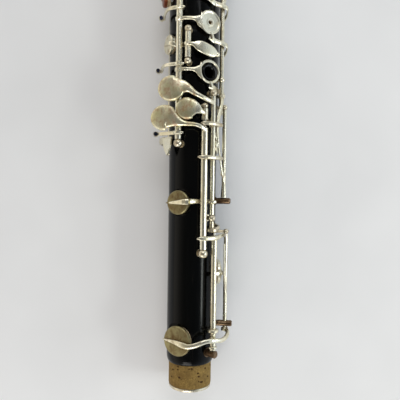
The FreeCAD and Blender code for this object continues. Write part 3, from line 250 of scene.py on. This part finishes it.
def grenadilla():
    """Oiled black hardwood: faint long brown grain, fine open pores, a worn satin gloss."""
    f = Finish("grenadilla")
    grain = f.noise((0.9, 14.0, 0.9), 6.0, 0.6, 0.4)
    stops = [
        (0.30, (0.0006, 0.0008, 0.0008)),
        (0.62, (0.0014, 0.0016, 0.0016)),
        (0.80, (0.009, 0.007, 0.006)),
    ]
    base = f.ramp(grain, stops)
    pores = f.span(f.noise((0.16, 2.6, 0.16), 3.0, 0.7), 0.60, 0.72, 0.0, 1.0)
    base = f.mixed(pores, base, (0.002, 0.002, 0.002))
    dust = f.span(f.noise((7.0, 9.0, 7.0), 5.0, 0.6), 0.50, 0.78, 0.0, 0.22)
    base = f.mixed(f.times(dust, f.hollows(2.5)), base, (0.20, 0.17, 0.13))
    f.colour(base)
    smear = f.noise((5.0, 16.0, 5.0), 4.0, 0.6)
    f.rough(f.span(f.times(smear, f.times(pores, 0.25), "ADD"), 0.3, 0.8, 0.09, 0.20))
    f.bump(f.times(grain, f.times(pores, -0.6), "ADD"), 0.03, 0.3)
    f.fixed(Specular_IOR_Level=0.13)
    return f.material


def cork(name, light, dark, pit, scale):
    """Sheet cork: pale grains, dark lenticels, pressed smooth on its outer face."""
    f = Finish(name)
    grains = f.cells((0.75 * scale, 0.9 * scale, 0.75 * scale))
    patches = f.noise((3.0 * scale, 4.0 * scale, 3.0 * scale), 5.0, 0.6)
    base = f.mixed(f.span(patches, 0.34, 0.66, 0.0, 1.0), dark, light)
    speck = f.span(f.noise((0.42 * scale, 0.55 * scale, 0.42 * scale), 4.0, 0.7), 0.40, 0.62, 0.0, 0.75)
    base = f.mixed(speck, base, tuple(c * 0.62 for c in dark))
    pits = f.span(f.noise((1.1 * scale, 1.6 * scale, 1.1 * scale), 6.0, 0.72, 0.6), 0.60, 0.70, 0.0, 1.0)
    sunk = f.tree.nodes.new("ShaderNodeAttribute")
    sunk.attribute_name = "pore"
    pits = f.times(pits, f.span(sunk.outputs["Fac"], 0.25, 0.8, 0.0, 1.0), "MAXIMUM")
    base = f.mixed(pits, base, pit)
    f.colour(base)
    f.rough(f.span(patches, 0.3, 0.7, 0.62, 0.9))
    f.bump(f.times(f.times(grains, 0.35), f.times(pits, -1.0), "ADD"), 0.22 * scale, 0.8)
    f.fixed(Specular_IOR_Level=0.15)
    return f.material


def silver(name, bright, shade, tarnish, tarnish_from, rough_low, rough_high):
    """Plated nickel silver: polished on its crowns, warm tarnish in its hollows, hairline scratches."""
    f = Finish(name)
    drift = f.noise((6.0, 8.0, 6.0), 4.0, 0.55)
    base = f.mixed(f.span(drift, 0.35, 0.68, 0.0, 1.0), bright, shade)
    bloom = f.span(f.noise((2.6, 3.4, 2.6), 7.0, 0.66, 0.4), tarnish_from, tarnish_from + 0.2, 0.0, 1.0)
    grime = f.times(f.hollows(1.6), f.span(f.noise((1.2, 1.2, 1.2), 4.0, 0.6), 0.3, 0.7, 0.35, 1.0))
    stain = f.times(f.times(bloom, 0.7), grime, "MAXIMUM")
    base = f.mixed(stain, base, tarnish)
    base = f.mixed(f.times(f.edges(), 0.35), base, tuple(min(1.0, c * 1.12) for c in bright))
    f.colour(base)
    hairs = f.noise((0.10, 3.0, 0.45), 3.0, 0.75)
    polish = f.span(f.times(drift, f.times(hairs, 0.5), "ADD"), 0.45, 0.95, rough_low, rough_high)
    f.rough(f.times(polish, f.times(stain, 0.28), "ADD"))
    f.bump(f.times(f.times(hairs, 0.25), f.times(bloom, -0.6), "ADD"), 0.012, 0.5)
    f.fixed(Metallic=1.0)
    return f.material


def rod_steel(name, bright, shade, rough_low, rough_high):
    """Ground steel with rings from turning and a little oil-brown staining."""
    f = Finish(name)
    rings = f.noise((40.0, 0.12, 40.0), 2.0, 0.5)
    stain = f.span(f.noise((2.0, 3.0, 2.0), 5.0, 0.6), 0.45, 0.7, 0.0, 1.0)
    f.colour(f.mixed(stain, bright, shade))
    f.rough(f.span(f.times(rings, stain, "ADD"), 0.4, 1.5, rough_low, rough_high))
    f.bump(rings, 0.008, 0.5)
    f.fixed(Metallic=1.0)
    return f.material


def pad_skin():
    """Fish-skin pad face: thin amber skin over felt, with fine wrinkles."""
    f = Finish("pad_skin")
    cloud = f.noise((1.6, 1.6, 1.6), 4.0, 0.6)
    f.colour(f.ramp(cloud, [(0.3, (0.50, 0.33, 0.17)), (0.7, (0.72, 0.56, 0.36))]))
    wrinkles = f.noise((0.22, 0.22, 0.22), 5.0, 0.65, 1.2)
    f.rough(f.span(wrinkles, 0.3, 0.7, 0.30, 0.50))
    f.bump(wrinkles, 0.03, 0.6)
    f.fixed(Subsurface_Weight=0.1, Specular_IOR_Level=0.45)
    return f.material


FINISHES = {
    "grenadilla": grenadilla(),
    "cork": cork("cork", (0.33, 0.215, 0.065), (0.19, 0.115, 0.032), (0.060, 0.028, 0.008), 1.0),
    "pad_cork": cork("pad_cork", (0.50, 0.33, 0.16), (0.34, 0.20, 0.09), (0.07, 0.035, 0.016), 0.45),
    "key_metal": silver(
        "key_metal",
        bright=(0.88, 0.845, 0.69),
        shade=(0.70, 0.645, 0.46),
        tarnish=(0.23, 0.13, 0.055),
        tarnish_from=0.54,
        rough_low=0.17,
        rough_high=0.34,
    ),
    # Touch heads: a paler, higher-contrast copy of key_metal; the paler colour is a painted highlight, the
    # heavier brown stain is tarnish together with painted shade
    "touches_tarnish_and_highlight": silver(
        "touches_tarnish_and_highlight",
        bright=(0.92, 0.90, 0.70),
        shade=(0.60, 0.56, 0.31),
        tarnish=(0.34, 0.16, 0.085),
        tarnish_from=0.45,
        rough_low=0.22,
        rough_high=0.36,
    ),
    "plated_fittings": silver(
        "plated_fittings",
        bright=(0.74, 0.69, 0.54),
        shade=(0.54, 0.46, 0.32),
        tarnish=(0.16, 0.09, 0.04),
        tarnish_from=0.50,
        rough_low=0.17,
        rough_high=0.36,
    ),
    # Pad cups: dark olive-brown metal with a duller polish; the darkness is painted shade on the cups
    "dull_cups_painted_shade": silver(
        "dull_cups_painted_shade",
        bright=(0.33, 0.30, 0.16),
        shade=(0.21, 0.165, 0.08),
        tarnish=(0.12, 0.06, 0.025),
        tarnish_from=0.44,
        rough_low=0.26,
        rough_high=0.44,
    ),
    "brown_posts": silver(
        "brown_posts",
        bright=(0.24, 0.165, 0.10),
        shade=(0.12, 0.07, 0.038),
        tarnish=(0.035, 0.018, 0.010),
        tarnish_from=0.42,
        rough_low=0.18,
        rough_high=0.38,
    ),
    "steel_rods": rod_steel("steel_rods", (0.62, 0.60, 0.55), (0.36, 0.31, 0.24), 0.20, 0.38),
    "blued_steel": rod_steel("blued_steel", (0.045, 0.055, 0.10), (0.07, 0.05, 0.045), 0.22, 0.36),
    # Side vent cup: dark red-brown metal, a painted shade and painted dark reflection standing in for the
    # shadow on this cup
    "vent_cup_painted_shade": silver(
        "vent_cup_painted_shade",
        bright=(0.26, 0.085, 0.045),
        shade=(0.16, 0.045, 0.025),
        tarnish=(0.05, 0.018, 0.010),
        tarnish_from=0.50,
        rough_low=0.20,
        rough_high=0.38,
    ),
    "pad_skin": pad_skin(),
}


# ---------------------------------------------------------------- finishes on the carried-over nodes
def dress(obj, material):
    """Covers the whole object with one finish."""
    obj.data.materials.clear()
    obj.data.materials.append(material)
    for polygon in obj.data.polygons:
        polygon.material_index = 0


def smooth(obj, angle):
    """Smooth shading with edges kept sharp above the angle, in degrees."""
    for polygon in obj.data.polygons:
        polygon.use_smooth = True
    bpy.context.view_layer.objects.active = obj
    obj.select_set(True)
    bpy.ops.object.shade_smooth_by_angle(angle=math.radians(angle))
    obj.select_set(False)


def second_finish(node, material, inside):
    """Gives the part of a node whose faces lie inside a test its own finish; inside takes millimetres."""
    data = nodes[node].data
    data.materials.append(material)
    for polygon in data.polygons:
        if inside(polygon.center / MM):
            polygon.material_index = len(data.materials) - 1


for entry in frame["record"]["subparts"]:
    dress(nodes[entry["node"]], FINISHES[entry["material_slot"]])
for node in ("low_c_cup_post", "barrel_posts"):
    dress(nodes[node], FINISHES["brown_posts"])
for node in ("f_sharp_adjusting_screw", "d_adjusting_screws"):
    dress(nodes[node], FINISHES["blued_steel"])


def over_cup(at, hinge, opened, cup_phi):
    """Height in mm of a point above the bore axis, square to a cup that has opened about its hinge line."""
    phi, rho = math.radians(hinge[0]), hinge[1]
    turn = math.radians(-opened)
    x, z = at.x - rho * math.sin(phi), at.z - rho * math.cos(phi)
    x, z = x * math.cos(turn) + z * math.sin(turn), z * math.cos(turn) - x * math.sin(turn)
    x, z = x + rho * math.sin(phi), z + rho * math.cos(phi)
    return x * math.sin(math.radians(cup_phi)) + z * math.cos(math.radians(cup_phi))


# The touch heads take the paler finish, a painted highlight with tarnish and painted shade
for node in ("c_sharp_key", "low_c_touch_key", "e_flat_key"):
    second_finish(
        node,
        FINISHES["touches_tarnish_and_highlight"],
        lambda at: at.x < TOUCHES_TO_X and at.y > TOUCHES_FROM_Y,
    )
# The cups under their backs take the darker finish, painted shade on the cups
second_finish(
    "c_sharp_key",
    FINISHES["dull_cups_painted_shade"],
    lambda at: at.x < C_SHARP_CUP_TO_X
    and at.y < C_SHARP_CUP_TO_Y
    and over_cup(at, C_SHARP_HINGE, C_SHARP_OPEN, C_SHARP_SEAT) < C_SHARP_BACK,
)
second_finish(
    "low_b_cup_key",
    FINISHES["dull_cups_painted_shade"],
    lambda at: at.x < LOW_B_CUP_TO_X and over_cup(at, LOW_B_HINGE, LOW_B_OPEN, LOW_B_SEAT) < LOW_B_BACK,
)
# The side vent cup takes the dark red-brown finish, painted shade on the cup
second_finish(
    "side_vent_key",
    FINISHES["vent_cup_painted_shade"],
    lambda at: at.y > VENT_CUP_FROM_Y and at.x < VENT_CUP_TO_X and at.z > VENT_CUP_FROM_Z,
)


# ---------------------------------------------------------------- tenon cork
def tenon_cork():
    """Cork sleeve as a fine lathed skin with open pores sunk into it; replaces the plain sleeve."""
    low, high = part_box("tenon_cork")
    radius = (high.x - low.x) / 2
    inner = SLEEVE_BORE_R * MM
    length = high.y - low.y
    dice = random.Random(11)
    pores = []
    for count, small, large in PORE_KINDS:
        for _ in range(count):
            size = dice.uniform(small, large) * MM
            pore_angle = dice.uniform(0, math.tau)
            pore_y = dice.uniform(0.08, 1.0) ** 0.6 * 0.94 * length
            pores.append((pore_angle, pore_y, size, dice.uniform(1.0, 1.9)))
    mesh = bmesh.new()
    shade = mesh.verts.layers.float.new("pore")
    rings = []
    for step in range(SLEEVE_STEPS + 1):
        share = step / SLEEVE_STEPS
        y = low.y + share * length
        lower_lip = min(1.0, share / LOWER_LIP[0])
        upper_lip = min(1.0, (1 - share) / UPPER_LIP[0])
        base = radius - LOWER_LIP[1] * MM * (1 - math.sqrt(1 - (1 - lower_lip) ** 2))
        base -= UPPER_LIP[1] * MM * (1 - upper_lip) ** 2
        ring = []
        for turn in range(SLEEVE_AROUND):
            angle = math.tau * turn / SLEEVE_AROUND
            sink = 0.0
            for pore_angle, pore_y, size, stretch in pores:
                dy = (y - low.y - pore_y) / size
                if abs(dy) > PORE_REACH:
                    continue
                gap = (angle - pore_angle + math.pi) % math.tau - math.pi
                distance = math.hypot(gap * radius / (size * stretch), dy)
                if distance < PORE_REACH:
                    slope = max(0.0, (distance - PORE_FLOOR) / (PORE_REACH - PORE_FLOOR))
                    sink = max(sink, 1 - slope**2)
            skin = base - PORE_DEPTH * MM * sink - CORK_GRAIN * MM * dice.random()
            vertex = mesh.verts.new((skin * math.sin(angle), y, skin * math.cos(angle)))
            vertex[shade] = sink
            ring.append(vertex)
        rings.append(ring)
    for y in (high.y, low.y):
        ring = []
        for turn in range(SLEEVE_AROUND):
            angle = math.tau * turn / SLEEVE_AROUND
            ring.append(mesh.verts.new((inner * math.sin(angle), y, inner * math.cos(angle))))
        rings.append(ring)
    for lower, upper in zip(rings, rings[1:] + rings[:1]):
        for turn in range(SLEEVE_AROUND):
            ahead = (turn + 1) % SLEEVE_AROUND
            mesh.faces.new((lower[turn], upper[turn], upper[ahead], lower[ahead]))
    bmesh.ops.recalc_face_normals(mesh, faces=mesh.faces)
    data = bpy.data.meshes.new("tenon_cork_sleeve")
    mesh.to_mesh(data)
    mesh.free()
    sleeve = bpy.data.objects.new("tenon_cork_sleeve", data)
    bpy.context.collection.objects.link(sleeve)
    dress(sleeve, FINISHES["cork"])
    smooth(sleeve, CORK_SHARP_ABOVE)
    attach(sleeve, "joint_body")
    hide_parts("tenon_cork")


tenon_cork()


# ---------------------------------------------------------------- floor, light and camera
def backdrop():
    """Pale cloth ground, gently uneven, just under the lowest point of the object."""
    low = cad_box[0][2]
    mesh = bmesh.new()
    bmesh.ops.create_grid(mesh, x_segments=GROUND_CELLS, y_segments=GROUND_CELLS, size=GROUND_SIZE / 2 * MM)
    data = bpy.data.meshes.new("ground")
    mesh.to_mesh(data)
    mesh.free()
    ground = bpy.data.objects.new("ground", data)
    bpy.context.collection.objects.link(ground)
    ground.location = (0, GROUND_MIDDLE_Y * MM, low)
    f = Finish("ground")
    weave = f.times(f.noise((0.35, 3.0, 0.35), 2.0, 0.5), f.noise((3.0, 0.35, 3.0), 2.0, 0.5), "ADD")
    cloud = f.noise((60.0, 60.0, 60.0), 2.0, 0.5)
    f.colour(f.mixed(f.span(cloud, 0.3, 0.7, 0.0, 1.0), (0.87, 0.87, 0.88), (0.82, 0.82, 0.83)))
    f.bump(weave, 0.05, 0.25)
    f.fixed(Roughness=0.9, Specular_IOR_Level=0.2)
    dress(ground, f.material)


def panel(name, place, aim, size, power, colour):
    """Soft rectangular light at a place, facing the aim point; all in millimetres."""
    light = bpy.data.lights.new(name, "AREA")
    light.shape = "RECTANGLE"
    light.size, light.size_y = [s * MM for s in size]
    light.energy = power
    light.color = colour
    lamp = bpy.data.objects.new(name, light)
    place = Vector(place) * MM
    lamp.location = place
    lamp.rotation_euler = (Vector(aim) * MM - place).to_track_quat("-Z", "Y").to_euler()
    bpy.context.collection.objects.link(lamp)


def room():
    """Surroundings: bright low down, darker overhead, cooler to the right and warmer to the left."""
    sky = bpy.data.worlds.new("studio")
    sky.use_nodes = True
    tree = sky.node_tree
    background = tree.nodes["Background"]
    split = tree.nodes.new("ShaderNodeSeparateXYZ")
    tree.links.new(tree.nodes.new("ShaderNodeTexCoord").outputs["Generated"], split.inputs["Vector"])
    tint = tree.nodes.new("ShaderNodeValToRGB")
    tint.color_ramp.elements[0].color = (*WARM_SIDE, 1)
    tint.color_ramp.elements[1].color = (*COOL_SIDE, 1)
    across = tree.nodes.new("ShaderNodeMapRange")
    across.inputs["From Min"].default_value = -ROOM_TINT_SPAN
    across.inputs["From Max"].default_value = ROOM_TINT_SPAN
    tree.links.new(split.outputs["X"], across.inputs["Value"])
    tree.links.new(across.outputs["Result"], tint.inputs["Fac"])
    level = tree.nodes.new("ShaderNodeMapRange")
    level.interpolation_type = "SMOOTHSTEP"
    for name, value in zip(RANGE_SOCKETS, (*ROOM_HEIGHTS, *ROOM_LEVELS)):
        level.inputs[name].default_value = value
    tree.links.new(split.outputs["Z"], level.inputs["Value"])
    tree.links.new(tint.outputs["Color"], background.inputs["Color"])
    tree.links.new(level.outputs["Result"], background.inputs["Strength"])
    bpy.context.scene.world = sky


def camera():
    """Looks straight down at the joint; the joint leans a little clockwise in the frame."""
    data = bpy.data.cameras.new("camera")
    data.lens = CAMERA_LENS
    data.sensor_width = 36.0
    data.clip_start = 0.01
    eye = bpy.data.objects.new("camera", data)
    eye.location = Vector(CAMERA_AT) * MM
    eye.rotation_euler = (0, 0, math.radians(CAMERA_TURN))
    bpy.context.collection.objects.link(eye)
    bpy.context.scene.camera = eye


backdrop()
for name, light in LIGHTS.items():
    panel(name, **light)
room()
camera()
bpy.context.scene.view_settings.view_transform = "Standard"
